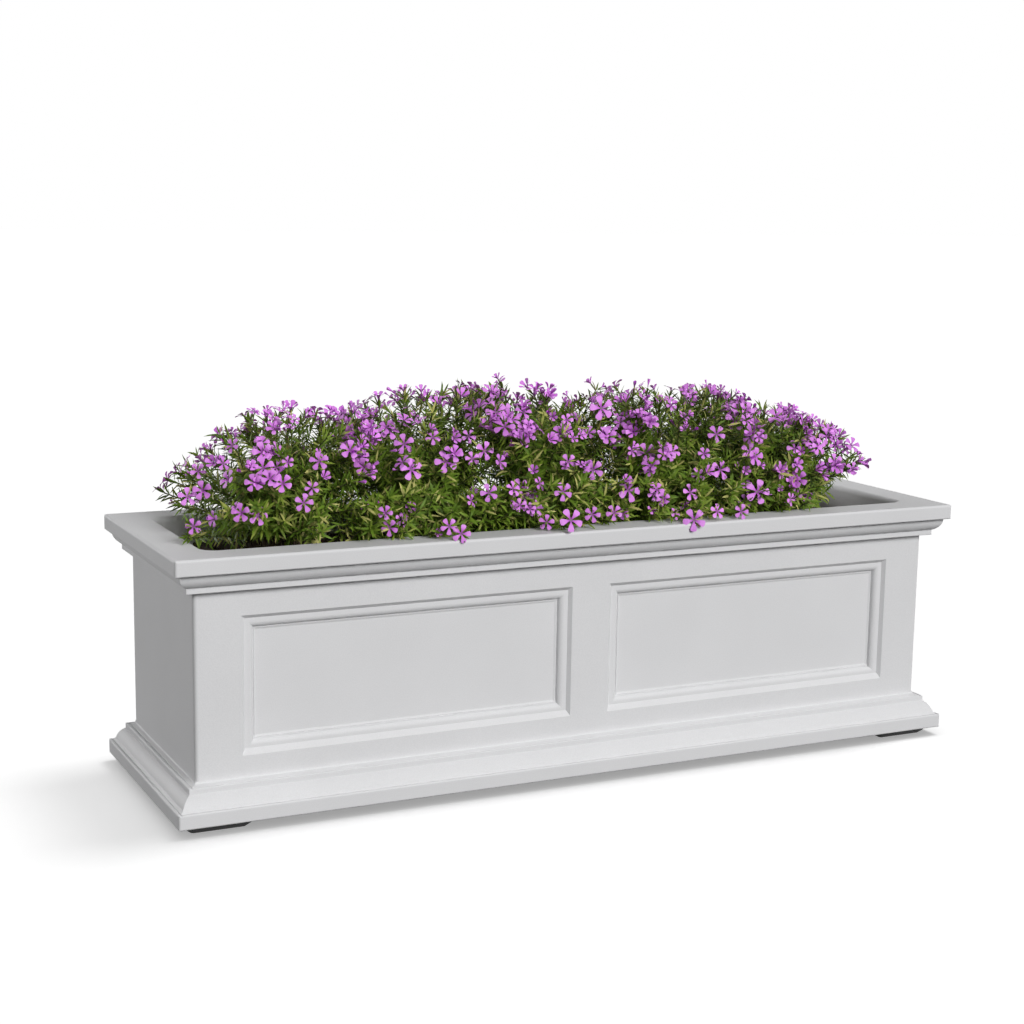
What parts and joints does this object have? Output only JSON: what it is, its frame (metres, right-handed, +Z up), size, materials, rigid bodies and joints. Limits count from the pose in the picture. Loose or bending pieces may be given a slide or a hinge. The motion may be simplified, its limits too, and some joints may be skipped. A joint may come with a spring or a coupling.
{
  "type": "window box",
  "caption": "Long moulded window box with a broad rim, classical mouldings and recessed front panels, on low foot pads, planted with flowers.",
  "frame": {"origin": "on the ground below the middle of the box", "axes": "+X along the box, towards its right end; -Y out of the panelled front; +Z up"},
  "size_m": [0.9144, 0.2794, 0.4257],
  "materials": {
    "white_plastic": "satin",
    "pad_rubber": "matte",
    "plug_rubber": "matte",
    "steel": "satin",
    "soil": "matte",
    "root_fibre": "matte",
    "leaves": "satin",
    "petals": "satin"
  },
  "bodies": {
    "box": {"planter_body": "white_plastic", "foot_front_left": "pad_rubber", "foot_front_right": "pad_rubber", "foot_back_left": "pad_rubber", "foot_back_right": "pad_rubber", "foot_screws": "steel", "potting_soil": "soil", "root_ball_1": "root_fibre", "foliage_1": "leaves", "blossoms_1": "petals", "root_ball_2": "root_fibre", "foliage_2": "leaves", "blossoms_2": "petals", "root_ball_3": "root_fibre", "foliage_3": "leaves", "blossoms_3": "petals", "root_ball_4": "root_fibre", "foliage_4": "leaves", "blossoms_4": "petals", "root_ball_5": "root_fibre", "foliage_5": "leaves", "blossoms_5": "petals"},
    "overflow_plug_left": {"overflow_plug_left": "plug_rubber"},
    "overflow_plug_right": {"overflow_plug_right": "plug_rubber"}
  },
  "joints": [
    {"name": "overflow_plug_left_pull", "type": "slide", "parent": "box", "child": "overflow_plug_left", "axis": [0, 1, 0], "range_m": [0, 0.018]},
    {"name": "overflow_plug_right_pull", "type": "slide", "parent": "box", "child": "overflow_plug_right", "axis": [0, 1, 0], "range_m": [0, 0.018]}
  ]
}
